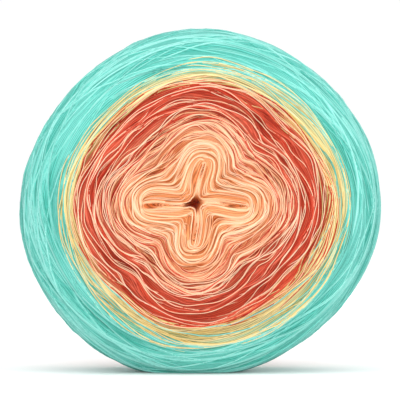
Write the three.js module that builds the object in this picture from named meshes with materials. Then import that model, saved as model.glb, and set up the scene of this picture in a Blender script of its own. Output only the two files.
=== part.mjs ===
// A yarn cake: one long gradient yarn, wound flat and wide, standing on its rim.
// Millimetres, +Z up. The winding axis lies along Y, and the face with the folded core looks along -Y.
// The core has collapsed into four folds. Each turn of yarn repeats them, weaker towards the rim.
import * as THREE from 'three';

// Overall form
const meanRadius = 85; // of the rim about the winding axis
const halfDepth = 42; // where the cake is thickest
const axisHeight = 81.6; // of the winding axis above the surface, less than the radius, as the cake sags flat
const axisAcross = -2.15; // of the winding axis from the middle of the width
const shoulderPower = 3.8; // high for a square shoulder, 2 for a ball
const crownPower = 2.2;

// How the rim departs from a circle, one row for each kind of wave
const rimWaves = [
  { lobes: 1, size: 1.9, towards: -36 }, // the outer turns lie a little off the core
  { lobes: 2, size: 1.65, towards: 20 }, // sagged into an oval
  { lobes: 3, size: 0.55, towards: -12 },
  { lobes: 4, size: 0.5, towards: -2 },
];

// The folded core of each face. The folds are a quarter turn apart before they lean, in degrees.
const coreRadius = 8; // of a plain ring as large as the core
const frontFace = {
  folds: [
    { side: 'right', reach: 24.2, lean: -3 },
    { side: 'top', reach: 18.5, lean: -11.5 },
    { side: 'left', reach: 24.8, lean: 4.4 },
    { side: 'bottom', reach: 19.6, lean: -2.4 },
  ],
  turned: 0,
  wellDepth: 24,
};
const backFace = {
  folds: [
    { side: 'right', reach: 21.5, lean: 4 },
    { side: 'top', reach: 23.5, lean: 6 },
    { side: 'left', reach: 20, lean: -7 },
    { side: 'bottom', reach: 22.5, lean: 3 },
  ],
  turned: 24,
  wellDepth: 22,
};
const waistRadius = 2.1; // of the opening between two folds
const foldSlimness = 0.06; // a fold's half width over its reach, at the core
const lobeRoundness = 0.75; // the same ratio gained by the time the folds have opened out
const grooveDepth = 6; // of a fold's groove
const dishDepth = 4.5; // that the face sinks towards the core
const dishRadius = 24;

// Over how many millimetres of winding each trait of the core fades
const reachFade = 20;
const waistFade = 61;
const openingFade = 10;
const leanFade = 40;

// Main twists: bands of turns that stand proud of their neighbours and cross at small angles
const bandWaves = [
  { height: 0.45, width: 12.5, drift: 2, start: 0.4 },
  { height: 0.35, width: 9.2, drift: -3, start: 2.1 },
];
const bandWander = 0.7;

// Mesh
const columns = 80; // around the axis
const wellRows = 5;
const faceRows = 30; // from the core to the middle of the rim
const foldCrowding = 0.9; // how much the columns crowd into the narrow folds, 0 for not at all
const crowdingFade = 11;

const radians = THREE.MathUtils.degToRad;

// A value that each of the four folds has, carried smoothly from fold to fold
function betweenFolds(folds, key, angle) {
  const [right, top, left, bottom] = folds.map((fold) => fold[key]);
  const mean = (right + top + left + bottom) / 4;
  const across = ((right - left) / 2) * Math.cos(angle);
  const upright = ((top - bottom) / 2) * Math.sin(angle);
  const quarter = ((right + left - top - bottom) / 4) * Math.cos(2 * angle);
  return mean + across + upright + quarter;
}

// 1 along each fold and 0 between two folds: narrow spikes where slim, a soft wave where wide
function foldShape(angle, slimness) {
  const spike = (sine) => 1 / Math.sqrt(1 + (sine / (2 * slimness)) ** 2);
  const least = spike(1);
  return (spike(Math.sin(2 * angle)) - least) / (1 - least);
}

function rimWave(angle) {
  return rimWaves.reduce(
    (sum, wave) => sum + wave.size * Math.cos(wave.lobes * (angle - radians(wave.towards))),
    0,
  );
}

// The angle and radius at a column of the turn that would have this radius in a plain roll.
// Inside the core's ring, it is that ring's own outline shrunk towards the bottom of the well.
function turnOutline(face, plainRadius, column) {
  const turn = Math.max(plainRadius, coreRadius);
  const wound = turn - coreRadius;
  const even = (column / columns) * 2 * Math.PI;
  const crowding = foldCrowding * Math.exp(-wound / crowdingFade);
  const angle = even - (crowding * Math.sin(4 * even)) / 4;

  const slack = 1 - (turn / meanRadius) ** 2; // 0 at the rim, where the turns no longer repeat the folds
  const reach = betweenFolds(face.folds, 'reach', angle) - coreRadius;
  const lobe = turn + reach * Math.exp(-wound / reachFade);
  const waist = turn - (coreRadius - waistRadius) * Math.exp(-wound / waistFade) * slack;
  const slimness = foldSlimness + lobeRoundness * (1 - Math.exp(-wound / openingFade));
  const folded = waist + (lobe - waist) * foldShape(angle, slimness);

  const lean = radians(betweenFolds(face.folds, 'lean', angle) + face.turned);
  const leant = angle + lean * Math.exp(-wound / leanFade) * slack;
  const oval = rimWave(leant) * (1 - slack);
  return { angle: leant, radius: (folded + oval) * (plainRadius / turn) };
}

// How far the plain face lies from the cake's middle plane
function crownDepth(plainRadius) {
  const share = Math.min(plainRadius / meanRadius, 1);
  const crown = halfDepth * (1 - share ** shoulderPower) ** (1 / crownPower);
  return crown - dishDepth * Math.exp(-((plainRadius / dishRadius) ** 2));
}

// Plain radius and depth from the bottom of the well, over the face, to the middle of the rim
function meridian(face) {
  const lip = crownDepth(coreRadius);
  const well = Array.from({ length: wellRows }, (_, row) => {
    const share = 1 - (1 - row / wellRows) ** 2;
    const groove = grooveDepth * (1 - share ** 8);
    const shaft = (face.wellDepth - grooveDepth) * (1 - share) ** 2;
    return new THREE.Vector2(coreRadius * share, lip - groove - shaft);
  });
  const fineSteps = 200;
  const crown = Array.from({ length: fineSteps + 1 }, (_, step) => {
    const slope = (step / fineSteps) * (Math.PI / 2);
    const plainRadius = coreRadius + (meanRadius - coreRadius) * Math.sin(slope);
    return new THREE.Vector2(plainRadius, crownDepth(plainRadius));
  });
  return [...well, ...new THREE.SplineCurve(crown).getSpacedPoints(faceRows)];
}

// Every row of the form, from the pole of the back well to the pole of the front one
function formRows() {
  const back = meridian(backFace).map((at) => ({ face: backFace, radius: at.x, depth: at.y }));
  const front = meridian(frontFace).map((at) => ({ face: frontFace, radius: at.x, depth: -at.y }));
  const rows = [...back, ...front.reverse().slice(1)];
  let along = 0;
  rows.forEach((row, index) => {
    const before = rows[Math.max(index - 1, 0)];
    const after = rows[Math.min(index + 1, rows.length - 1)];
    along += Math.hypot(row.radius - before.radius, row.depth - before.depth);
    row.along = along;
    row.outwards = new THREE.Vector2(before.depth - after.depth, after.radius - before.radius).normalize();
  });
  return rows;
}

// How far the bands of turns stand proud, by distance along the meridian and angle around
function bandHeight(along, angle) {
  return bandWaves.reduce((sum, wave) => {
    const wander = bandWander * Math.sin(2 * angle + wave.start);
    const phase = (2 * Math.PI * along) / wave.width + wave.drift * angle + wander;
    return sum + wave.height * Math.sin(phase + wave.start);
  }, 0);
}

// A point of the cake, with the part that would be under the surface pressed flat on it
function woundPoint(row, column) {
  const { angle, radius } = turnOutline(row.face, row.radius, column % columns);
  const onCrown = THREE.MathUtils.smoothstep(row.radius, coreRadius, 2 * coreRadius);
  const proud = bandHeight(row.along, angle) * onCrown;
  const fromAxis = radius + row.outwards.x * proud;
  const x = axisAcross + fromAxis * Math.cos(angle);
  const y = row.depth + row.outwards.y * proud;
  const z = Math.max(axisHeight + fromAxis * Math.sin(angle), 0);
  return new THREE.Vector3(x, y, z);
}

// A plain lathe of the rows gives the mesh, and each of its points then moves to its place on the cake
function woundForm() {
  const rows = formRows();
  const lathe = new THREE.LatheGeometry(
    rows.map((row) => new THREE.Vector2(row.radius, row.depth)),
    columns,
  );
  const position = lathe.getAttribute('position');
  for (let column = 0; column <= columns; column++) {
    rows.forEach((row, index) => {
      const at = woundPoint(row, column);
      position.setXYZ(column * rows.length + index, at.x, at.y, at.z);
    });
  }
  lathe.computeVertexNormals();
  return lathe;
}

const yarn = new THREE.MeshStandardMaterial({ color: '#6fdcc6', roughness: 0.85, metalness: 0 });

const yarnCake = new THREE.Mesh(woundForm(), yarn);
yarnCake.name = 'yarn_cake';

const cake = new THREE.Group();
cake.add(yarnCake);

export default cake;
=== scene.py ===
# A yarn cake on its rim: a pressed body of yarn, and over it the single threads of its outer turns.
# The cake's own sizes are in millimetres, as a maker would measure them, and mm turns them into metres.
# The sizes of the room and its lamps are in metres.
from math import ceil, cos, pi, radians, sin, sqrt, tau
import bpy
import numpy as np
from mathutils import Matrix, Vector


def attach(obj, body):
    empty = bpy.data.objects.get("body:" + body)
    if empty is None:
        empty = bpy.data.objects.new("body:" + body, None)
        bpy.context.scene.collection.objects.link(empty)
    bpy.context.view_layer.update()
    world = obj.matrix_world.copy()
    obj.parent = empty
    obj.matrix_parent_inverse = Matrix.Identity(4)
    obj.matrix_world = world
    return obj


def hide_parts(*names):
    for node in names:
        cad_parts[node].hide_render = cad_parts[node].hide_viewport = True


print("yarn cake: loading the frame")
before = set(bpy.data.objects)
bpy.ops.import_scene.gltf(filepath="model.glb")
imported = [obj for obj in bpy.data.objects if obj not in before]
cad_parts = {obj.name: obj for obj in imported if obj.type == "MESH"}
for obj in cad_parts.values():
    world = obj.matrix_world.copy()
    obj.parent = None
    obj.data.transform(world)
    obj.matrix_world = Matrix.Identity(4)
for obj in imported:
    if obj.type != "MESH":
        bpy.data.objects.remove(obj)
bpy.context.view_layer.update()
mm = 0.001

# Camera: level with the cake's middle, far off, straight at the face with the folded core
shot = {
    "distance": 1500,  # from the cake's middle plane
    "pictureSide": 400,  # pixels
    "pixelSize": 0.4835,  # of the cake's middle plane
    "aimAcross": -0.45,
    "aimHeight": 82.85,
    "sensorWidth": 36,
    "clipping": (0.1, 20),  # metres
}


def makeCamera():
    # the lens is the sensor's width times the distance, over the width that the picture shows
    data = bpy.data.cameras.new("shotCamera")
    data.sensor_width = shot["sensorWidth"]
    data.lens = shot["sensorWidth"] * shot["distance"] / (shot["pictureSide"] * shot["pixelSize"])
    data.clip_start, data.clip_end = shot["clipping"]
    camera = bpy.data.objects.new("shotCamera", data)
    camera.location = Vector((shot["aimAcross"], -shot["distance"], shot["aimHeight"])) * mm
    camera.rotation_euler = (pi / 2, 0, 0)
    bpy.context.scene.collection.objects.link(camera)
    bpy.context.scene.camera = camera


makeCamera()

# Stage: a white floor that runs into a white room, a soft lamp in front and one behind, and a wide skylight
stageLook = {
    "floorSide": 12,
    "floorPaint": {"Base Color": (0.95, 0.95, 0.95, 1), "Roughness": 0.9},
    "roomColour": (1, 1, 1, 1),
    # the room's strength, from the horizon to overhead, between two sines of the height
    "dimming": {"From Min": 0.12, "From Max": 0.45, "To Min": 1.01, "To Max": 0.3},
    "lamps": {
        "keyLamp": {"place": (0.05, -1.62, 0.25), "side": 0.5, "watts": 18.7},
        "backLamp": {"place": (0.75, 1.4, 0.22), "side": 0.4, "watts": 12},
    },
    "skylight": {"place": (0, 0, 2), "from": (0, -0.5, 1.0), "softness": 80, "strength": 2.8},
}


def setSockets(node, values):
    # each named socket gets its own value
    for socket, value in values.items():
        node.inputs[socket].default_value = value


def addNode(tree, kind, values):
    # a new shader node of this kind with these socket values
    node = tree.nodes.new("ShaderNode" + kind)
    setSockets(node, values)
    return node


def makeFloor():
    # a square on the level that the cake stands on
    half = stageLook["floorSide"] / 2
    corners = [(-half, -half, 0), (half, -half, 0), (half, half, 0), (-half, half, 0)]
    mesh = bpy.data.meshes.new("floor")
    mesh.from_pydata(corners, [], [(0, 1, 2, 3)])
    floor = bpy.data.objects.new("floor", mesh)
    paint = bpy.data.materials.new("floorPaint")
    paint.use_nodes = True
    setSockets(paint.node_tree.nodes["Principled BSDF"], stageLook["floorPaint"])
    mesh.materials.append(paint)
    bpy.context.scene.collection.objects.link(floor)


def makeRoom():
    # the room's strength eases from the horizon's to the overhead one as the direction's height grows
    world = bpy.data.worlds.new("room")
    world.use_nodes = True
    tree = world.node_tree
    background = tree.nodes["Background"]
    setSockets(background, {"Color": stageLook["roomColour"]})
    direction = addNode(tree, "TexCoord", {})
    parts = addNode(tree, "SeparateXYZ", {})
    strength = addNode(tree, "MapRange", stageLook["dimming"])
    strength.interpolation_type = "SMOOTHSTEP"
    tree.links.new(direction.outputs["Generated"], parts.inputs["Vector"])
    tree.links.new(parts.outputs["Z"], strength.inputs["Value"])
    tree.links.new(strength.outputs["Result"], background.inputs["Strength"])
    bpy.context.scene.world = world


def placeLamp(name, kind, energy, place, towards):
    # a lamp of this kind at its place, turned so that it shines along the given direction
    data = bpy.data.lights.new(name, kind)
    data.energy = energy
    lamp = bpy.data.objects.new(name, data)
    lamp.location = place
    lamp.rotation_euler = towards.to_track_quat("-Z", "Y").to_euler()
    bpy.context.scene.collection.objects.link(lamp)
    return data


def makeLamps():
    # two square lamps that look at the cake's middle, and a sun that is so wide that it lights like a sky
    aim = Vector((0, 0, shot["aimHeight"] * mm))
    for name, look in stageLook["lamps"].items():
        lamp = placeLamp(name, "AREA", look["watts"], look["place"], aim - Vector(look["place"]))
        lamp.size = look["side"]
    sky = stageLook["skylight"]
    overhead = placeLamp("skylight", "SUN", sky["strength"], sky["place"], -Vector(sky["from"]))
    overhead.angle = radians(sky["softness"])


makeFloor()
makeRoom()
makeLamps()
bpy.context.scene.view_settings.view_transform = "Standard"
print("yarn cake: camera and stage are set")

# Winding form: the solid's sizes and formulas, with more detail at the core
form = {
    "meanRadius": 85, "halfDepth": 42, "axisAcross": -2.15, "axisHeight": 81.6,
    "shoulderPower": 3.8, "crownPower": 2.2,
    "rimWaves": [(1, 1.9, -36), (2, 1.65, 20), (3, 0.55, -12), (4, 0.5, -2)],  # lobes, size, towards
    "coreRadius": 8, "waistRadius": 2.5, "waistFade": 61, "waistRoundness": 1.3,
    "roundnessStart": 2, "roundnessFade": 16, "roundnessPower": 5,
    "waistEase": 0.42,  # how gently turns bend round the waists
    "easeFade": 25,
    "coreEaseLoss": 0.4,  # share of that ease
    "coreEaseLossFade": 1.5, "foldSlimness": 0.027, "lobeRoundness": 0.75, "openingFade": 9,
    "reachFade": 20, "leanFade": 40,
    "tipBluntness": 5,  # of the innermost turns
    "outerBluntness": 2, "tipFade": 15, "foldCrowding": 0.9, "crowdingFade": 11,
    "dentStart": (-6, 4),  # a dent grows from before to after its first radius
    "dentEnd": (-12, 6),  # and fades about its last
    "dishDepth": 4.5, "dishRadius": 24, "grooveDepth": 0.25, "grooveEndDepth": 1.1,
    "grooveEnd": (9, 16),  # radii between which a groove deepens
    "lipPower": 8, "wellDepth": 9, "wellRadius": 2.9,
    "wellPlace": (-1.4, -0.3),  # of the hole's middle, across and up from the axis
    "shaftShare": 0.3,  # of the well's depth, on the meridian
    "swirl": 0.8,  # how far the folds wander sideways
    "swirlLength": 4.8, "swirlRadius": 32,
    "faceBlend": 12,  # from the rim's middle, where the front's turns become the back's
    "floorSoftness": 0.25, "wellSteps": 90, "crownSteps": 900,
}

# The four folds of a face are its right, top, left and bottom one. A dent lies between two of them.
frontFace = {
    "reach": (24.2, 18.5, 24.8, 19.6),
    "lean": (-3, -11.5, 4.4, -2.4),
    "turned": 0,
    "dents": [  # towards, half width, depth, first and last radius
        (44, 9, 2.3, 19, 58), (-131, 10, 2.6, 24, 60),
        (-52, 10, 2.0, 23, 48), (141, 10, 0.8, 20, 40),
    ],
}
backFace = {
    "reach": (21.5, 23.5, 20, 22.5),
    "lean": (4, 6, -7, 3),
    "turned": 24,
    "dents": [
        (70, 9, 2.0, 18, 56), (-20, 8, 1.8, 16, 50),
        (165, 8, 2.2, 18, 58), (-110, 10, 1.2, 16, 44),
    ],
}

# Pits where the front folds end: across and up from the axis, direction, half length, half width, depth
frontPits = [
    (-21.9, -1.7, 2, 3.0, 0.8, 2.7),
    (17.2, -1.6, -2, 3.6, 0.5, 1.5),
    (-0.5, 12.4, 78, 2.8, 0.7, 2.3),
    (-3.7, -14.2, 86, 2.6, 0.6, 2.0),
]


def smoothstep(low, high, value):
    # 0 below low and 1 above high, with a cubic ease between
    share = np.clip((value - low) / (high - low), 0, 1)
    return share * share * (3 - 2 * share)


def betweenFolds(values, angle):
    # the mean of the folds plus an across, an upright and a quarter-turn wave, so that it meets each fold
    right, top, left, bottom = values
    mean = (right + top + left + bottom) / 4
    across = (right - left) / 2 * np.cos(angle)
    upright = (top - bottom) / 2 * np.sin(angle)
    quarter = (right + left - top - bottom) / 4 * np.cos(2 * angle)
    return mean + across + upright + quarter


def foldShape(angle, slimness, bluntness):
    # one over a root of one plus a power of the doubled angle's sine over the width, scaled from 0 to 1
    least = 1 / (1 + (1 / (2 * slimness)) ** bluntness) ** (1 / bluntness)
    spike = 1 / (1 + (np.abs(np.sin(2 * angle)) / (2 * slimness)) ** bluntness) ** (1 / bluntness)
    return (spike - least) / (1 - least)


def rimWave(angle):
    # a sum of cosines, one for each kind of wave
    return sum(
        size * np.cos(lobes * (angle - radians(towards)))
        for lobes, size, towards in form["rimWaves"]
    )


def foldedRadius(face, turn, wound, slack, angle):
    # a waist between the folds and a lobe along each, blended by the folds' shape, both fading outwards
    reach = betweenFolds(face["reach"], angle) - form["coreRadius"]
    lobe = turn + reach * np.exp(-wound / form["reachFade"])
    narrowing = form["coreRadius"] - form["waistRadius"]
    waist = turn - narrowing * np.exp(-wound / form["waistFade"]) * slack
    slimness = form["foldSlimness"] + form["lobeRoundness"] * (1 - np.exp(-wound / form["openingFade"]))
    outer = form["outerBluntness"]
    bluntness = outer + (form["tipBluntness"] - outer) * np.exp(-wound / form["tipFade"])
    shape = foldShape(angle, slimness, bluntness)
    kept = 1 - form["coreEaseLoss"] * np.exp(-wound / form["coreEaseLossFade"])
    ease = form["waistEase"] * kept * np.exp(-wound / form["easeFade"])
    shape = shape * (1 - ease * (1 - shape))
    started = 1 - np.exp(-wound / form["roundnessStart"])
    rounded = form["waistRoundness"] * started * np.exp(-wound / form["roundnessFade"])
    return waist + (lobe - waist) * shape + rounded * (1 - shape) ** form["roundnessPower"]


def dentDepth(face, turn, angle):
    # a sum of dents, each a bell across its direction that grows and fades between its two radii
    (before, after), (early, late) = form["dentStart"], form["dentEnd"]
    total = 0
    for towards, width, depth, first, last in face["dents"]:
        off = (angle - radians(towards) + pi) % tau - pi
        grown = smoothstep(first + before, first + after, turn)
        faded = smoothstep(last + early, last + late, turn)
        total = total + depth * (grown * (1 - faded)) * np.exp(-((off / radians(width)) ** 2))
    return total


def turnOutline(face, plainRadius, even):
    # angle and radius of a turn: its folds, leant and dented, and an oval that grows towards the rim.
    # Inside the core's ring, it is that ring's outline shrunk to the bottom of the well.
    turn = np.maximum(plainRadius, form["coreRadius"])
    wound = turn - form["coreRadius"]
    slack = 1 - (turn / form["meanRadius"]) ** 2
    crowding = form["foldCrowding"] * np.exp(-wound / form["crowdingFade"])
    angle = even - crowding * np.sin(4 * even) / 4
    lean = np.radians(betweenFolds(face["lean"], angle) + face["turned"])
    leant = angle + lean * np.exp(-wound / form["leanFade"]) * slack
    folded = foldedRadius(face, turn, wound, slack, angle) - dentDepth(face, turn, leant)
    oval = rimWave(leant) * (1 - slack)
    return leant, (folded + oval) * plainRadius / turn


def crownDepth(plainRadius):
    # a superellipse from the rim to the middle, less a bell-shaped dish at the core
    share = np.minimum(plainRadius / form["meanRadius"], 1)
    crown = form["halfDepth"] * (1 - share ** form["shoulderPower"]) ** (1 / form["crownPower"])
    return crown - form["dishDepth"] * np.exp(-((plainRadius / form["dishRadius"]) ** 2))


def makeMeridian():
    # plain radius and depth by the distance from the rim's middle, over the face, to the well's bottom
    core = form["coreRadius"]
    share = np.linspace(0, 1, form["wellSteps"])
    groove = form["grooveDepth"] * (1 - share ** form["lipPower"])
    shaft = form["shaftShare"] * form["wellDepth"] * (1 - share) ** 2
    slope = np.linspace(0, pi / 2, form["crownSteps"])[1:]
    crown = core + (form["meanRadius"] - core) * np.sin(slope)
    radius = np.concatenate([core * share, crown])[::-1]
    depth = np.concatenate([crownDepth(core) - groove - shaft, crownDepth(crown)])[::-1]
    inward = np.concatenate([[0], np.cumsum(np.hypot(np.diff(radius), np.diff(depth)))])
    return {"inward": inward, "radius": radius, "depth": depth}


meridian = makeMeridian()  # the same on both faces
faceLength = meridian["inward"][-1]


def inwardOf(plainRadius):
    # distance from the middle of the rim to a plain radius of a face
    return np.interp(-plainRadius, -meridian["radius"], meridian["inward"])


def radiusAt(along):
    # plain radius at a distance along the meridian, which is below 0 on the front and above 0 on the back
    return np.interp(np.abs(along), meridian["inward"], meridian["radius"])


def holeDepth(plainRadius, angle, radius):
    # how far a place inside the core lies below its lip: a groove along each fold, and a bell-shaped hole
    share = np.minimum(plainRadius / form["coreRadius"], 1)
    across, up = form["wellPlace"]
    offHole = np.hypot(radius * np.cos(angle) - across, radius * np.sin(angle) - up)
    hole = form["wellDepth"] * np.exp(-((offHole / form["wellRadius"]) ** 2))
    end = (form["grooveEndDepth"] - form["grooveDepth"]) * smoothstep(*form["grooveEnd"], radius)
    return (1 - share ** form["lipPower"]) * (form["grooveDepth"] + end + hole)


def pitDepth(x, z):
    # a sum of bells, each long in its own direction and narrow across it
    across, up = x - form["axisAcross"], z - form["axisHeight"]
    total = np.zeros_like(across)
    for fromAxis, above, towards, halfLength, halfWidth, deep in frontPits:
        cosine, sine = cos(radians(towards)), sin(radians(towards))
        lengthwise = (across - fromAxis) * cosine + (up - above) * sine
        sideways = (up - above) * cosine - (across - fromAxis) * sine
        total = total + deep * np.exp(-((lengthwise / halfLength) ** 2) - (sideways / halfWidth) ** 2)
    return total


def plainPoint(along, even):
    # a point of the cake without its relief: depth from the meridian, the rest from the turn's outline
    plainRadius = radiusAt(along)
    behind = smoothstep(-form["faceBlend"], form["faceBlend"], along)
    frontAngle, frontRadius = turnOutline(frontFace, plainRadius, even)
    backAngle, backRadius = turnOutline(backFace, plainRadius, even)
    angle = frontAngle + (backAngle - frontAngle) * behind
    radius = frontRadius + (backRadius - frontRadius) * behind
    inCore = plainRadius < form["coreRadius"]
    hollow = crownDepth(form["coreRadius"]) - holeDepth(plainRadius, angle, radius)
    depth = np.where(inCore, hollow, np.interp(np.abs(along), meridian["inward"], meridian["depth"]))
    across, up = radius * np.cos(angle), radius * np.sin(angle)
    swirl = form["swirl"] * np.exp(-((radius / form["swirlRadius"]) ** 2))
    x = form["axisAcross"] + across - swirl * np.sin(up / form["swirlLength"])
    z = form["axisHeight"] + up + swirl * np.sin(across / form["swirlLength"])
    return np.stack([x, np.where(along < 0, pitDepth(x, z) - depth, depth), z], -1)


# Creases: places where the turns part, most of them at the waists between two folds
creaseLook = {
    "sets": [  # side, plain radii, count, half length in radians, half gap, depth, share at the waists
        (-1, (9.5, 24), 38, (0.22, 0.45), 1.0, 0.35, 0.9),
        (-1, (21, 40), 64, (0.12, 0.32), 0.8, 0.4, 0.6),
        (-1, (38, 58), 80, (0.08, 0.26), 0.85, 0.45, 0.35),
        (-1, (57, 70), 30, (0.10, 0.30), 0.7, 0.4, 0.0),
        (1, (9.5, 60), 120, (0.12, 0.40), 0.9, 0.9, 0.5),
    ],
    "seed": 5,
    "waistSpread": 0.16,
    "gapSpread": (0.7, 1.3),
    "depthSpread": (0.6, 1.2),
    "slant": 1.6,
    "parting": 0.9,
    "breadth": 4,  # in half gaps
    "sharpness": 1.1,
}


def scatterCreases():
    # each set spreads its creases evenly between its two radii, with a random place around the axis
    rng = np.random.default_rng(creaseLook["seed"])
    rows = []
    for side, radii, count, halfLength, gap, depth, atWaists in creaseLook["sets"]:
        inner, outer = inwardOf(radii[0]), inwardOf(radii[1])
        inward = outer + (inner - outer) * (rng.permutation(count) + rng.random(count)) / count
        waist = (rng.integers(0, 4, count) + 0.5) * pi / 2 + rng.normal(0, creaseLook["waistSpread"], count)
        anywhere = rng.uniform(0, tau, count)
        even = np.where(rng.random(count) < atWaists, waist, anywhere)
        length = rng.uniform(*halfLength, count)
        slant = rng.uniform(-1, 1, count) * creaseLook["slant"]
        wide = gap * rng.uniform(*creaseLook["gapSpread"], count)
        deep = depth * rng.uniform(*creaseLook["depthSpread"], count)
        rows.append(np.stack([side * inward, even, length, wide, deep, slant], -1))
    return np.concatenate(rows)


creases = scatterCreases()


def nearCrease(crease, along, even):
    # distance off the crease line in half gaps, and a fade that is 1 at its middle and 0 at its two ends
    place, towards, length, gap, _, slant = crease
    off = (even - towards + pi) % tau - pi
    distance = (along - place - slant * off) / gap
    reached = np.abs(off) / length
    inside = (reached < 1) & (np.abs(distance) < creaseLook["breadth"])
    return inside, distance[inside], (1 - reached[inside] ** 2) ** 2


def partAtCreases(along, even):
    # each side of a crease moves away from its line by the distance times a bell curve of the distance
    moved = along.copy()
    for crease in creases:
        inside, distance, fade = nearCrease(crease, along, even)
        gap = crease[3]
        moved[inside] += creaseLook["parting"] * gap * fade * distance * np.exp(-0.5 * distance ** 2)
    return moved


def creaseDepth(along, even):
    # the deepest of the bell-shaped troughs along the crease lines
    depth = np.zeros(along.shape)
    for crease in creases:
        inside, distance, fade = nearCrease(crease, along, even)
        trough = crease[4] * fade * np.exp(-creaseLook["sharpness"] * distance ** 2)
        depth[inside] = np.maximum(depth[inside], trough)
    return depth


# Relief: the solid's wide bands of turns, and on them the ropes into which the threads gather
relief = {
    "bandWaves": [(0.45, 12.5, 2, 0.4), (0.35, 9.2, -3, 2.1)],  # height, width, drift, start
    "bandWander": 0.7,
    "ropeWidth": 2.9,
    "ropeHeight": 0.6,  # between two folds of the core
    "ropeAlongFolds": 0.1,  # share of that height
    "outerRopeHeight": 0.25,
    "ropeFade": (22, 44),  # plain radii between which the ropes grow flatter
    "ropeLevel": 0.6,  # share of its height that lies under the form
    "ropeTwist": (1.1, 0.7),  # size and start of a wander twice around
    "ropeRoll": (0.8, 6),  # size of a wander three times around, and the distance that shifts it
    "patches": {"mean": 0.55, "swing": 0.45, "lengths": (3.7, 5.9), "start": 1.3},  # of higher ropes
    "lipEase": (-2, 3),  # from the core's radius, where they begin
    "sway": [  # size, width, waves around the axis, start
        (0.6, 17, 2, 0.3), (0.45, 11, -4, 1.9), (0.42, 9, 7, 4.1), (0.36, 8, -10, 2.6), (0.22, 6, 14, 0.9),
    ],
}


def sway(along, even):
    # how far the turns wander sideways together, as a sum of slanted waves
    return sum(
        size * np.sin(tau * along / width + turns * even + start)
        for size, width, turns, start in relief["sway"]
    )


def bandHeight(along, even):
    # a sum of slanted sines that wander twice around the axis, counted from the back's pole as on the solid
    fromBackPole = faceLength - along
    total = 0
    for height, width, drift, start in relief["bandWaves"]:
        wander = relief["bandWander"] * np.sin(2 * even + start)
        phase = tau * fromBackPole / width + drift * even + wander
        total = total + height * np.sin(phase + start)
    return total


def ropeHeight(along, even, plainRadius):
    # the absolute value of a sine, so that round backs meet in sharp creases, times a size that varies
    twist, twistStart = relief["ropeTwist"]
    roll, rollLength = relief["ropeRoll"]
    drifting = along + twist * np.sin(2 * even + twistStart) + roll * np.sin(3 * even + along / rollLength)
    rope = np.abs(np.sin(pi * drifting / relief["ropeWidth"]))
    patch = relief["patches"]
    first, second = patch["lengths"]
    waves = patch["swing"] * np.sin(along / first + 3 * even + patch["start"])
    patches = patch["mean"] + waves * np.sin(along / second - 2 * even)
    least = relief["ropeAlongFolds"]
    inner = relief["ropeHeight"] * (least + (1 - least) * np.sin(2 * even) ** 2)
    size = inner + (relief["outerRopeHeight"] - inner) * smoothstep(*relief["ropeFade"], plainRadius)
    return (rope - relief["ropeLevel"]) * size * patches


def reliefHeight(along, even):
    # the bands, plus the ropes, less the creases, each starting at the core
    core = form["coreRadius"]
    plainRadius = radiusAt(along)
    onCrown = smoothstep(core, 2 * core, plainRadius)
    before, after = relief["lipEase"]
    atLip = smoothstep(core + before, core + after, plainRadius)
    ropes = ropeHeight(along, even, plainRadius)
    return bandHeight(along, even) * onCrown + ropes * atLip - creaseDepth(along, even) * atLip


def unitVectors(vectors):
    # each vector over its length
    return vectors / (np.linalg.norm(vectors, axis=-1, keepdims=True) + 1e-9)


def windingPoint(along, even, height):
    # the plain point, moved out along the normal by the relief and the given height. Returns the normal too.
    alongStep, evenStep = 0.1, 0.003
    outwardSlope = plainPoint(along + alongStep, even) - plainPoint(along - alongStep, even)
    aroundSlope = plainPoint(along, even + evenStep) - plainPoint(along, even - evenStep)
    normal = unitVectors(np.cross(outwardSlope, aroundSlope))
    point = plainPoint(along, even) + normal * (reliefHeight(along, even) + height)[..., None]
    return point, normal


def pressOnFloor(points):
    # the height above the floor follows a hyperbola, which never goes below 0 and keeps the order of heights
    soft = form["floorSoftness"]
    points[..., 2] = (points[..., 2] + np.sqrt(points[..., 2] ** 2 + 4 * soft ** 2)) / 2
    return points


# Yarn: a few strands side by side, whose colours change one after another from the core to the rim
dyes = {
    "peach": (250, 209, 176),
    "shell": (250, 207, 176),
    "coral": (213, 97, 73),
    "straw": (233, 215, 165),
    "mint": (145, 214, 205),
}
yarn = {
    "shares": [  # plain radius, then the shares of peach, shell, coral, straw and mint strands
        (0, 1, 0, 0, 0, 0), (17, 1, 0, 0, 0, 0), (24, 0.4, 0.6, 0, 0, 0),
        (28, 0.1, 0.75, 0.15, 0, 0), (35, 0, 0.72, 0.28, 0, 0), (40, 0, 0.38, 0.62, 0, 0),
        (46, 0, 0.08, 0.92, 0, 0), (55, 0, 0.05, 0.95, 0, 0), (57.5, 0, 0.05, 0.75, 0.2, 0),
        (59.5, 0, 0, 0.1, 0.8, 0.1), (63.5, 0, 0, 0, 0.7, 0.3), (66, 0, 0, 0, 0.4, 0.6),
        (68, 0, 0, 0, 0.05, 0.95), (70, 0, 0, 0, 0, 1),
    ],
    "offCentre": [(0, 0), (50, 0), (58, 1.5), (67, 4.5), (85, 4.5)],  # plain radius, distance
    "offTowards": -20,
    "paintedShadePerDepth": [  # plain radius, then bounces and loss of light for each millimetre below the neighbours, painted into the colour as shade
        (0, 2.8, 0.65), (24, 2.3, 0.7), (42, 0.65, 0.65),
        (56, 0.5, 0.65), (61, 1.0, 0.35), (70, 1.3, 0.2),
    ],
    "paintedShadeInWell": (0.55, 0.08),  # the same painted shade, for each millimetre below the lip of the core or in a pit
    "paintedEdgeShade": 1.4,  # depth added for painted shade at a thread's two lower edges, in its radii
}


def linear(colour):
    # sRGB numbers from 0 to 255 as the light that they stand for
    value = np.asarray(colour, float) / 255
    return np.where(value <= 0.04045, value / 12.92, ((value + 0.055) / 1.055) ** 2.4)


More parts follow.
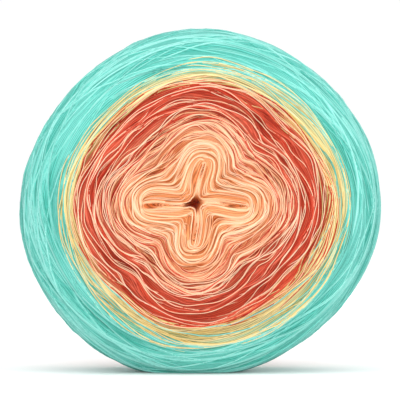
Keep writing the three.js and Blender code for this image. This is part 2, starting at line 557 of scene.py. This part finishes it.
def sharesAt(plainRadius):
    # the share of each colour, in straight lines between the rows of the table
    shares = np.array(yarn["shares"], float).T
    return np.stack([np.interp(plainRadius, shares[0], share) for share in shares[1:]], -1)


def meanColour(plainRadius):
    # the colours mixed by their shares at this radius
    return sharesAt(plainRadius) @ linear(list(dyes.values()))


def offCentre(plainRadius, even):
    # how far outwards the turns of this radius lie: a cosine of the angle, times a size from the table
    radii, sizes = zip(*yarn["offCentre"])
    return np.interp(plainRadius, radii, sizes) * np.cos(even - radians(yarn["offTowards"]))


def withPaintedShade(colours, plainRadius, depth, wellDepth):
    # painted shade: light takes on the strands' colour at each bounce between them and is partly lost, so the
    # colour goes to the power of one plus the bounces, times an exponential of the loss
    radii, bounces, losses = zip(*yarn["paintedShadePerDepth"])
    inWell, lostInWell = yarn["paintedShadeInWell"]
    power = 1 + np.interp(plainRadius, radii, bounces) * depth + inWell * wellDepth
    loss = np.interp(plainRadius, radii, losses) * depth + lostInWell * wellDepth
    return colours ** power[..., None] * np.exp(-loss)[..., None]


def wellDepthAt(along, even):
    # how far a place lies below the lip of its core, or in a pit, which sets its painted shade
    x, y, z = np.moveaxis(plainPoint(along, even), -1, 0)
    inCore = radiusAt(along) < form["coreRadius"]
    pits = np.where(along < 0, pitDepth(x, z), 0)
    return np.where(inCore, np.maximum(crownDepth(form["coreRadius"]) - np.abs(y), 0), pits)


# Winding: what the yarns of every piece share
winding = {
    "stagger": 2.4,  # radians between the starts of two yarns
    "gather": (0.85, 0.3),  # mean and swing of the strands' spacing
    "fineWeave": (0.5, 2.3),  # size and number of finer waves
    "heaveWaves": 1.7,
    "levelGap": 0.4,  # from the innermost yarn to a well's bottom
    "poleGap": 0.3,  # from any thread to it
    "fadedPower": 3,  # few strands fade much
    "brightness": (0.9, 1.08),
}


def strandsOf(look):
    # the yarn of each strand, and its place across that yarn, 0 in the middle
    owner = np.repeat(np.arange(look["yarns"]), look["strands"])
    place = np.tile(np.arange(look["strands"]) - (look["strands"] - 1) / 2, look["yarns"])
    return owner, place


def strandWave(rng, even, waves):
    # a sine of the angle, with a start of its own for each strand
    return np.sin(waves * even + rng.uniform(0, 6, len(even))[:, None])


def strandSpacing(rng, look, owner, place, even):
    # each strand's distance from the middle of its yarn, which breathes twice around the axis
    mean, swing = winding["gather"]
    gather = mean + swing * np.sin(2 * even + rng.uniform(0, 6, look["yarns"])[owner][:, None])
    return place[:, None] * look["spacing"] * gather


def strandLift(rng, look, owner, place, even, share):
    # the yarn's height, the strand's own and a slow wave, less an arch, eased to the end lift at both ends
    height = rng.uniform(*look["lift"], look["yarns"])[owner] + look["loose"] * rng.uniform(-1, 1, len(owner))
    height = height - look["arch"] * (place / max((look["strands"] - 1) / 2, 1)) ** 2
    height = height[:, None] + look.get("heave", look["loose"]) * strandWave(rng, even, winding["heaveWaves"])
    risen = smoothstep(0, look["endShare"], np.minimum(share, 1 - share))
    return look["endLift"] + (height - look["endLift"]) * risen


def varied(rng, look, colours, count):
    # the colours raised to a power and scaled, by random amounts for each strand
    richness = rng.uniform(*look["richness"], (count, 1))
    return colours ** richness * rng.uniform(*winding["brightness"], (count, 1))


def strandColours(rng, look, level):
    # a yarn's strands share out the colours of its level, or take the look's own, and some fade to shell
    yarns, strands = look["yarns"], look["strands"]
    count = yarns * strands
    if "colour" in look:
        colours = linear(np.tile(dyes[look["colour"]], (count, 1)))
    else:
        limits = np.cumsum(sharesAt(radiusAt(look["side"] * level)), -1)
        order = rng.permuted(np.tile(np.arange(strands), (yarns, 1)), axis=1)
        drawn = (order + rng.random((yarns, 1))) / strands
        pick = (drawn.reshape(-1, 1) > limits).sum(-1).clip(0, len(dyes) - 1)
        colours = linear(list(dyes.values()))[pick]
    faded = look["faded"] * rng.random((count, 1)) ** winding["fadedPower"]
    return varied(rng, look, colours + (linear(dyes["shell"]) - colours) * faded, count)


def withinCake(along):
    # kept a little off the bottoms of the two wells
    return np.clip(along, winding["poleGap"] - faceLength, faceLength - winding["poleGap"])


def windTurns(look):
    # yarns that follow the turns of a face: a level plus a slow drift, the strands' spacing, weave and sway
    rng = np.random.default_rng(look["seed"])
    yarns = look["yarns"]
    owner, place = strandsOf(look)
    deepest = faceLength - winding["levelGap"]
    inner, outer = (min(inwardOf(radius), deepest) for radius in look["radii"])
    level = outer + (inner - outer) * ((np.arange(yarns) + rng.random(yarns)) / yarns)[owner]
    start = (np.arange(yarns) * winding["stagger"] + rng.uniform(0, 1, yarns))[owner]
    span = rng.uniform(*look["span"], yarns)[owner] * rng.uniform(look["shortest"], 1, len(owner))
    slope = (rng.uniform(*look["drift"], yarns) * rng.choice([-1, 1], yarns))[owner]
    share = np.linspace(0, 1, look["steps"])[None]
    even = start[:, None] + (share - 0.5) * span[:, None]
    spacing = strandSpacing(rng, look, owner, place, even)
    size, finer = winding["fineWeave"]
    weave = look["weave"] * strandWave(rng, even, look["waves"])
    weave = weave + size * look["weave"] * strandWave(rng, even, finer * look["waves"])
    inward = level[:, None] + slope[:, None] * (share - 0.5) * span[:, None]
    along = look["side"] * (inward + spacing + weave)
    along = along + sway(along, even) * look["swaying"]
    if look["side"] < 0:
        along = along + offCentre(radiusAt(along), even)
    along = withinCake(partAtCreases(withinCake(along), even))
    lift = strandLift(rng, look, owner, place, even, share)
    return along, even, lift, strandColours(rng, look, level)


# side is -1 for the front and 1 for the back, radii say where the yarns lie, and span how many radians each
# runs. drift is for each radian. weave and waves move a strand in its yarn, swaying all yarns together. lift
# and endLift are heights in a yarn's middle and at its ends, loose is a strand's own, arch lowers the outer
# strands. richness is a power of the colour, and faded the most shell that is mixed in.
turnsCommon = {
    "side": -1, "waves": 4, "shortest": 0.9, "endLift": -1.5, "endShare": 0.14, "loose": 0.12,
    "threadRadius": 0.34, "flatness": 0.85, "richness": (0.9, 1.3), "faded": 0,
}
turnsLooks = {
    "wellTurns": {
        "seed": 10, "radii": (1.0, 9), "yarns": 12, "strands": 3, "steps": 130, "span": (2.6, 5.6),
        "drift": (0, 0.35), "spacing": 0.45, "weave": 0.1, "swaying": 0.3, "lift": (-0.6, -0.45),
        "loose": 0.05, "arch": 0.1,
    },
    "coreStrays": {
        "seed": 17, "radii": (9, 25), "yarns": 24, "strands": 3, "steps": 90, "span": (1.2, 3.4),
        "drift": (0.3, 1.4), "spacing": 0.45, "weave": 0.15, "swaying": 0.8, "lift": (-0.6, -0.3),
        "loose": 0.08, "arch": 0.15, "threadRadius": 0.3,
    },
    "coreTurns": {
        "seed": 11, "radii": (8.2, 25), "yarns": 9, "strands": 5, "steps": 250, "span": (6.3, 6.9),
        "drift": (0, 0.25), "spacing": 0.45, "weave": 0.1, "swaying": 0.8, "lift": (-0.6, -0.3),
        "loose": 0.05, "arch": 0.7,
    },
    "blushTurns": {
        "seed": 12, "radii": (23, 40), "yarns": 40, "strands": 5, "steps": 80, "span": (1.8, 3.6),
        "drift": (0.2, 1.2), "spacing": 0.48, "weave": 0.25, "waves": 6, "swaying": 1.1,
        "lift": (-0.65, -0.35), "endLift": -1.3, "arch": 0.3, "threadRadius": 0.32, "richness": (0.9, 1.35),
        "faded": 0.3,
    },
    "coralTurns": {
        "seed": 13, "radii": (38.5, 60), "yarns": 60, "strands": 5, "steps": 60, "span": (1.5, 3.4),
        "drift": (0.5, 2.4), "spacing": 0.5, "weave": 0.25, "waves": 7, "swaying": 1.0,
        "lift": (-0.65, -0.38), "endLift": -1.3, "arch": 0.25, "richness": (0.85, 1.4), "faded": 0.1,
    },
    "paleThreads": {
        "seed": 14, "radii": (35, 59), "yarns": 56, "strands": 1, "steps": 90, "span": (1.2, 3.0),
        "drift": (0.5, 3.0), "spacing": 0.6, "weave": 0.35, "waves": 8, "swaying": 1.0,
        "lift": (-0.4, -0.25), "loose": 0.1, "arch": 0, "threadRadius": 0.27, "flatness": 1.0,
        "richness": (0.85, 1.1), "colour": "shell",
    },
    "strawTurns": {
        "seed": 15, "radii": (57, 68), "yarns": 58, "strands": 4, "steps": 46, "span": (1.4, 3.0),
        "drift": (1.0, 4.0), "spacing": 0.56, "weave": 0.2, "waves": 5, "swaying": 0.7, "lift": (-1.0, -0.3),
        "arch": 0.2, "richness": (0.85, 1.5),
    },
    "strawStrays": {
        "seed": 16, "radii": (60, 68.5), "yarns": 14, "strands": 1, "steps": 40, "span": (0.8, 2.0),
        "drift": (2.0, 6.0), "spacing": 0.6, "weave": 0.2, "swaying": 0.7, "lift": (-0.4, -0.3),
        "loose": 0.1, "arch": 0, "threadRadius": 0.28, "flatness": 1.0, "richness": (0.9, 1.1),
        "colour": "straw",
    },
    "backCoreTurns": {
        "side": 1, "seed": 31, "radii": (5.2, 34), "yarns": 44, "strands": 3, "steps": 90,
        "span": (2.4, 5.0), "drift": (0, 0.6), "spacing": 0.62, "weave": 0.15, "swaying": 0.4,
        "lift": (-1.0, -0.3), "loose": 0.08, "arch": 0.3, "threadRadius": 0.4, "richness": (0.9, 1.6),
    },
    "backOuterTurns": {
        "side": 1, "seed": 32, "radii": (32, 70), "yarns": 66, "strands": 4, "steps": 52, "span": (1.6, 3.4),
        "drift": (0.4, 3.0), "spacing": 0.62, "weave": 0.25, "waves": 6, "swaying": 0.9,
        "lift": (-1.0, -0.25), "arch": 0.25, "threadRadius": 0.4, "richness": (0.85, 1.5), "faded": 0.3,
    },
}


def windAcross(look):
    # yarns that swing between the two faces as a cosine of the angle, and so cross each other on the rim
    rng = np.random.default_rng(look["seed"])
    yarns = look["yarns"]
    owner, place = strandsOf(look)
    reachFront = inwardOf(rng.uniform(*look["frontRadii"], yarns))[owner]
    reachBack = inwardOf(rng.uniform(*look["backRadii"], yarns))[owner]
    start = (np.arange(yarns) * winding["stagger"] + rng.uniform(0, 1, yarns))[owner]
    phase = (rng.uniform(*look["phase"], yarns) * rng.choice([-1, 1], yarns))[owner]
    span = rng.uniform(*look["span"], yarns)[owner] * rng.uniform(look["shortest"], 1, len(owner))
    rate = rng.uniform(*look["rate"], yarns)[owner]
    share = np.linspace(0, 1, look["steps"])[None]
    turned = (share - 0.5) * span[:, None]
    even = start[:, None] + turned
    swing = look["side"] * np.cos(rate[:, None] * turned + phase[:, None])
    shifted = reachFront[:, None] - offCentre(look["shiftedAs"], even)
    along = np.where(swing < 0, swing * shifted, swing * reachBack[:, None])
    spacing = strandSpacing(rng, look, owner, place, even)
    along = partAtCreases(along + spacing + look["swaying"] * sway(along, even), even)
    lift = strandLift(rng, look, owner, place, even, share)
    return along, even, lift, varied(rng, look, linear(dyes["mint"]), len(owner))


# frontRadii and backRadii say how far in the yarns swing on each face, rate and phase how fast and from
# where, shiftedAs which plain radius lies as far off the centre, and heave how far a strand rises and falls.
acrossCommon = {
    "shiftedAs": 70, "rate": (0.55, 0.9), "shortest": 0.93, "loose": 0.1, "heave": 0.15, "arch": 0.25,
    "endLift": -1.6, "endShare": 0.12, "flatness": 0.85, "richness": (0.75, 1.45),
}
acrossLooks = {
    "frontShoulder": {
        "seed": 21, "side": -1, "yarns": 90, "strands": 5, "steps": 48, "frontRadii": (65.5, 84),
        "backRadii": (66, 84), "phase": (0, 0.9), "span": (1.4, 3.0), "spacing": 0.5, "swaying": 0.3,
        "lift": (-0.8, -0.5), "threadRadius": 0.31,
    },
    "rimThreads": {
        "seed": 22, "side": -1, "yarns": 90, "strands": 4, "steps": 42, "frontRadii": (66, 82),
        "backRadii": (66, 82), "phase": (0.9, 2.2), "span": (1.4, 2.8), "spacing": 0.54, "swaying": 0.2,
        "lift": (-0.85, -0.55), "threadRadius": 0.34,
    },
    "backShoulder": {
        "seed": 23, "side": 1, "yarns": 70, "strands": 4, "steps": 42, "frontRadii": (66, 84),
        "backRadii": (64, 84), "phase": (0, 0.9), "span": (1.4, 3.0), "spacing": 0.64, "swaying": 0.3,
        "lift": (-0.95, -0.5), "threadRadius": 0.4,
    },
}

turnsLooks = {name: {**turnsCommon, **look} for name, look in turnsLooks.items()}
acrossLooks = {name: {**acrossCommon, **look} for name, look in acrossLooks.items()}
paths = {name: windTurns(look) for name, look in turnsLooks.items()}
paths.update({name: windAcross(look) for name, look in acrossLooks.items()})
print("yarn cake: the threads are wound")

# Body: the turns below the outer ones
body = {
    "rows": 150,
    "columns": 300,
    "sunk": 0.7,  # below the relief
    "depth": 0.4,  # added to its depth below the cover, for darker painted shade
    "poleGap": 0.15,
    "mapRadius": 60,  # at which its stripes are measured
}

# Cover: the height of the uppermost thread over each cell, by distance along the meridian and angle, which
# sets the painted shade below it
cover = {
    "cellSize": 0.3,
    "columns": 1200,
    "between": 6,  # places in each step of a thread
    "halfWidths": (-0.25, 0, 0.25),  # of a thread
    "spread": 3,  # cells
    "blur": 0.8,
    "blurCells": 9,
    "allowance": 0.12,
    "deepest": 3,
}
coverRows = int(2 * faceLength / cover["cellSize"]) + 1


def coverCells(along, even):
    # row and column of the cell under each point
    rows = ((along + faceLength) / cover["cellSize"]).astype(int)
    columns = (even / tau * cover["columns"]).astype(int) % cover["columns"]
    return rows.clip(0, coverRows - 1), columns


def makeCover():
    # the highest of all threads that pass over or near a cell, softened by a bell curve along the meridian
    rowMiddles = (np.arange(coverRows) + 0.5) * cover["cellSize"] - faceLength
    columnMiddles = (np.arange(cover["columns"]) + 0.5) / cover["columns"] * tau
    rowGrid, columnGrid = np.meshgrid(rowMiddles, columnMiddles, indexing="ij")
    top = reliefHeight(rowGrid, columnGrid) - body["sunk"]
    weights = (np.arange(cover["between"]) + 0.5) / cover["between"]
    for along, even, lift, _ in paths.values():
        height = reliefHeight(along, even) + lift
        finer = [
            (values[:, :-1, None] * (1 - weights) + values[:, 1:, None] * weights).ravel()
            for values in (along, even, height)
        ]
        for off in cover["halfWidths"]:
            rows, columns = coverCells(finer[0] + off, finer[1])
            np.maximum.at(top, (rows, columns), finer[2])
    spread = range(-cover["spread"], cover["spread"] + 1)
    top = np.max([np.roll(top, step, axis=0) for step in spread], axis=0)
    reach = np.arange(-cover["blurCells"], cover["blurCells"] + 1)
    bell = np.exp(-0.5 * (reach * cover["cellSize"] / cover["blur"]) ** 2)
    mean = sum(weight * np.roll(top, step, axis=0) for weight, step in zip(bell / bell.sum(), reach))
    return (mean + np.roll(mean, 1, axis=1) + np.roll(mean, -1, axis=1)) / 3


coverTop = makeCover()
print("yarn cake: the cover is measured")


def depthBelowCover(along, even, height):
    # how far a point lies below the tops of the threads around it, for its painted shade
    rows, columns = coverCells(along, even)
    return np.clip(coverTop[rows, columns] - cover["allowance"] - height, 0, cover["deepest"])


# Materials: threads and body are of one fibre. Stripes mark a thread's plies, and the body's turns, with
# painted shade in the grooves between them.
fibreLook = {
    "surface": {"Roughness": 0.85, "Sheen Weight": 0.04, "Sheen Roughness": 0.45, "Specular IOR Level": 0.08},
    "noise": {"Scale": 0.9, "Detail": 3},
    "mottle": 0.08,
    "stripes": {"Scale": 1.0, "Distortion": 1.2},
    "edge": 0.6,  # of the wave, at which a stripe ends
    "bumpStrength": 0.6,
}
# each stripe's darkening is painted shade in the groove between two plies or two turns
plyStripes = {"map": "threadLength", "scale": (1.6, 1.0, 1.0), "paintedGrooveShade": 0.12, "bump": 0.12}  # bump in mm
turnStripes = {"map": "turns", "scale": (0.01, 0.7, 1.0), "paintedGrooveShade": 0.45, "bump": 0.3}


def fibreMaterial(name, stripeLook):
    # the colour attribute with its painted shade, mottled by noise, and darkened by painted groove shade and
    # sunk in slanted stripes
    material = bpy.data.materials.new(name)
    material.use_nodes = True
    tree = material.node_tree
    shader = tree.nodes["Principled BSDF"]
    setSockets(shader, fibreLook["surface"])
    # the attribute's colour is the dye with painted shade already in it
    own = addNode(tree, "Attribute", {})
    own.attribute_name = "threadColour"
    place = addNode(tree, "UVMap", {})
    place.uv_map = stripeLook["map"]
    stretch = addNode(tree, "Mapping", {"Scale": stripeLook["scale"]})
    stripes = addNode(tree, "TexWave", fibreLook["stripes"])
    stripes.wave_type = "BANDS"
    stripes.bands_direction = "DIAGONAL"
    mottle = addNode(tree, "TexNoise", fibreLook["noise"])
    shade = addNode(tree, "MapRange", {"From Max": fibreLook["edge"], "To Min": 1 - stripeLook["paintedGrooveShade"]})
    shade.interpolation_type = "SMOOTHSTEP"
    blotch = addNode(tree, "MapRange", {"To Min": 1 - fibreLook["mottle"], "To Max": 1 + fibreLook["mottle"]})
    product = addNode(tree, "Math", {})
    product.operation = "MULTIPLY"
    tinted = addNode(tree, "VectorMath", {})
    tinted.operation = "SCALE"
    bump = addNode(tree, "Bump", {"Strength": fibreLook["bumpStrength"], "Distance": stripeLook["bump"] * mm})

    link = tree.links.new
    link(place.outputs["UV"], stretch.inputs["Vector"])
    link(stretch.outputs["Vector"], stripes.inputs["Vector"])
    link(place.outputs["UV"], mottle.inputs["Vector"])
    link(stripes.outputs["Fac"], shade.inputs["Value"])
    link(mottle.outputs["Fac"], blotch.inputs["Value"])
    link(shade.outputs["Result"], product.inputs[0])
    link(blotch.outputs["Result"], product.inputs[1])
    link(own.outputs["Color"], tinted.inputs[0])
    link(product.outputs["Value"], tinted.inputs["Scale"])
    link(tinted.outputs["Vector"], shader.inputs["Base Color"])
    link(stripes.outputs["Fac"], bump.inputs["Height"])
    link(bump.outputs["Normal"], shader.inputs["Normal"])
    return material


threadFibre = fibreMaterial("threadFibre", plyStripes)
bodyFibre = fibreMaterial("bodyFibre", turnStripes)


def fillMesh(name, points, faces, faceSizes, maps, colours, material):
    # puts whole arrays of points, face corners, maps and colours into one new mesh
    mesh = bpy.data.meshes.new(name)
    mesh.vertices.add(len(points))
    mesh.vertices.foreach_set("co", (points * mm).astype(np.float32).ravel())
    mesh.loops.add(len(faces))
    mesh.loops.foreach_set("vertex_index", faces.astype(np.int32))
    mesh.polygons.add(len(faceSizes))
    starts = np.concatenate([[0], np.cumsum(faceSizes)[:-1]])
    mesh.polygons.foreach_set("loop_start", starts.astype(np.int32))
    mesh.polygons.foreach_set("use_smooth", np.ones(len(faceSizes), bool))
    mesh.update(calc_edges=True)
    for mapName, corners in maps.items():
        layer = mesh.uv_layers.new(name=mapName, do_init=False)
        layer.uv.foreach_set("vector", corners.astype(np.float32).ravel())
    tint = mesh.color_attributes.new("threadColour", "FLOAT_COLOR", "POINT")
    rgba = np.concatenate([colours, np.ones((len(colours), 1))], 1)
    tint.data.foreach_set("color", rgba.astype(np.float32).ravel())
    mesh.materials.append(material)
    piece = bpy.data.objects.new(name, mesh)
    bpy.context.scene.collection.objects.link(piece)
    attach(piece, "root")
    triangles = int((faceSizes - 2).sum())
    print(f"yarn cake: {name} has {triangles} triangles")
    return piece


def tubeGrid(count, rings, sides):
    # the number of the tube, ring and side of each quad
    return np.meshgrid(np.arange(count), np.arange(rings - 1), np.arange(sides), indexing="ij")


def tubeFaces(count, rings, sides):
    # a quad between each pair of rings and sides of each tube
    number, ring, side = tubeGrid(count, rings, sides)
    after = (side + 1) % sides
    base = (number * rings + ring) * sides
    return np.stack([base + side, base + sides + side, base + sides + after, base + after], -1).ravel()


def quadMap(near, far, low, high):
    # the map coordinates of each quad's corners, from ring to ring and from side to side
    corners = ((near, low), (far, low), (far, high), (near, high))
    return np.stack([np.stack(corner, -1) for corner in corners], -2).reshape(-1, 2)


def bodyFaces(rows, columns):
    # one tube, closed by a fan of triangles from each end row to its pole
    quads = tubeFaces(1, rows, columns)
    one = np.arange(columns)
    two = (one + 1) % columns
    last = (rows - 1) * columns
    firstFan = np.stack([np.full(columns, rows * columns), one, two], -1)
    lastFan = np.stack([np.full(columns, rows * columns + 1), last + two, last + one], -1)
    faces = np.concatenate([quads, firstFan.ravel(), lastFan.ravel()])
    return faces, np.repeat([4, 3], [len(quads) // 4, 2 * columns])


def bodyMap(rows, columns):
    # columns across and rows up a unit square, with the fans flat on its bottom and top edge
    _, row, column = tubeGrid(1, rows, columns)
    quads = quadMap(row / (rows - 1), (row + 1) / (rows - 1), column / columns, (column + 1) / columns)
    one = np.arange(columns)[:, None]
    firstFan = (one + np.array([0.5, 0, 1])).ravel() / columns
    lastFan = (one + np.array([0.5, 1, 0])).ravel() / columns
    fans = np.stack([np.concatenate([firstFan, lastFan]), np.repeat([0, 1], 3 * columns)], -1)
    return np.concatenate([quads[:, ::-1], fans])


def makeBody():
    # the winding form sunk a little: rows along the meridian, columns around the axis, and a pole at each end
    rows, columns = body["rows"], body["columns"]
    first, last = body["poleGap"] - faceLength, faceLength - body["poleGap"]
    around = np.arange(columns) / columns * tau
    along, even = np.meshgrid(np.linspace(first, last, rows), around, indexing="ij")
    grid, _ = windingPoint(along, even, np.full(along.shape, -body["sunk"]))
    poles = np.array([grid[0].mean(0), grid[-1].mean(0)])
    points = pressOnFloor(np.concatenate([grid.reshape(-1, 3), poles]))

    squareMap = bodyMap(rows, columns)
    turnsMap = squareMap * np.array([tau * body["mapRadius"], last - first])
    height = reliefHeight(along, even) - body["sunk"]
    plainRadius = radiusAt(along)
    wound = np.where(along < 0, plainRadius - offCentre(plainRadius, even), plainRadius)
    # the body's colours carry painted shade, darker the further it lies below the threads' cover and the
    # well's lip
    below = depthBelowCover(along, even, height) + body["depth"]
    colours = withPaintedShade(meanColour(wound), wound, below, wellDepthAt(along, even)).reshape(-1, 3)
    colours = np.concatenate([colours, colours[:1], colours[-1:]])
    maps = {"turns": turnsMap, "OFBake": squareMap}
    piece = fillMesh("woundBody", points, *bodyFaces(rows, columns), maps, colours, bodyFibre)
    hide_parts("yarn_cake")


# Thread: a three-sided ring along its path, one edge upwards, and thinner towards its two buried ends
thread = {
    "sides": 3,
    "tipShare": 0.35,  # of its radius, at both ends
    "taperShare": 0.06,  # of its length
    "perStrip": 90,  # threads above each other in a bake map
    "margins": (0.03, 0.1),  # of a thread's strip there
    "capPlaces": (0.01, 0.985),
    "capSize": (0.004, 0.3),
}
sideTurns = (np.arange(thread["sides"]) / thread["sides"] + 0.25) * tau


def threadPoints(centre, outwards, look):
    # the path plus, for each side, its radius times across and upwards by the side's cosine and sine
    tangent = unitVectors(np.gradient(centre, axis=1))
    across = unitVectors(np.cross(tangent, outwards))
    upwards = np.cross(across, tangent)
    share = np.linspace(0, 1, centre.shape[1])
    tip = thread["tipShare"]
    taper = tip + (1 - tip) * smoothstep(0, thread["taperShare"], np.minimum(share, 1 - share))
    radius = (look["threadRadius"] * taper)[None, :, None, None]
    sideways = across[:, :, None] * np.cos(sideTurns)[:, None]
    ring = sideways + upwards[:, :, None] * (np.sin(sideTurns) * look["flatness"])[:, None]
    return pressOnFloor(centre[:, :, None] + ring * radius).reshape(-1, 3)


def threadFaces(count, steps):
    # one tube for each thread, with a cap on its first and its last ring
    sides = thread["sides"]
    quads = tubeFaces(count, steps, sides)
    ends = np.arange(count)[:, None] * steps * sides
    startCaps = ends + np.arange(sides)
    endCaps = ends + (steps - 1) * sides + np.arange(sides)[::-1]
    faces = np.concatenate([quads, startCaps.ravel(), endCaps.ravel()])
    return faces, np.repeat([4, sides], [len(quads) // 4, 2 * count])


def threadMaps(centre):
    # threadLength has the distance along a thread and the share around it, and OFBake a strip of a unit
    # square for each thread, with its caps as small triangles at the strip's ends
    count, steps = centre.shape[:2]
    sides = thread["sides"]
    number, step, side = tubeGrid(count, steps, sides)
    pieces = np.linalg.norm(np.diff(centre, axis=1, prepend=centre[:, :1]), axis=-1)
    length = np.cumsum(pieces, axis=1)
    lengths = quadMap(length[number, step], length[number, step + 1], side / sides, (side + 1) / sides)
    capLengths = np.zeros((2 * count * sides, 2))

    strips = max(1, ceil(sqrt(count / thread["perStrip"])))
    stacked = ceil(count / strips)
    marginU, marginV = thread["margins"]
    left, bottom = number % strips + marginU, number // strips + marginV
    wide, high = 1 - 2 * marginU, 1 - 2 * marginV
    bake = quadMap(
        (left + wide * (step / (steps - 1))) / strips,
        (left + wide * ((step + 1) / (steps - 1))) / strips,
        (bottom + high * (side / sides)) / stacked,
        (bottom + high * ((side + 1) / sides)) / stacked,
    )
    owner = np.repeat(np.tile(np.arange(count), 2), sides)
    place = np.repeat(thread["capPlaces"], count * sides)
    turn = np.tile(sideTurns, 2 * count)
    capWide, capHigh = thread["capSize"]
    capU = (owner % strips + place + capWide * np.cos(turn)) / strips
    capV = (owner // strips + 0.5 + capHigh * np.sin(turn)) / stacked
    return {
        "threadLength": np.concatenate([lengths, capLengths]),
        "OFBake": np.concatenate([bake, np.stack([capU, capV], -1)]),
    }


def makeThreads(name, path, look):
    # one piece's threads, each point given painted shade by how deep it lies, with more painted shade on the
    # two lower edges
    along, even, lift, colours = path
    centre, outwards = windingPoint(along, even, lift)
    points = threadPoints(centre, outwards, look)
    below = depthBelowCover(along, even, reliefHeight(along, even) + lift)
    depth = below[..., None] + np.array([0, 1, 1]) * yarn["paintedEdgeShade"] * look["threadRadius"]
    well = np.repeat(wellDepthAt(along, even)[..., None], thread["sides"], -1)
    plainRadius = np.repeat(radiusAt(along)[..., None], thread["sides"], -1)
    pointColours = withPaintedShade(colours[:, None, None], plainRadius, depth, well).reshape(-1, 3)
    fillMesh(name, points, *threadFaces(*along.shape), threadMaps(centre), pointColours, threadFibre)


makeBody()
for name, look in {**turnsLooks, **acrossLooks}.items():
    makeThreads(name, paths[name], look)
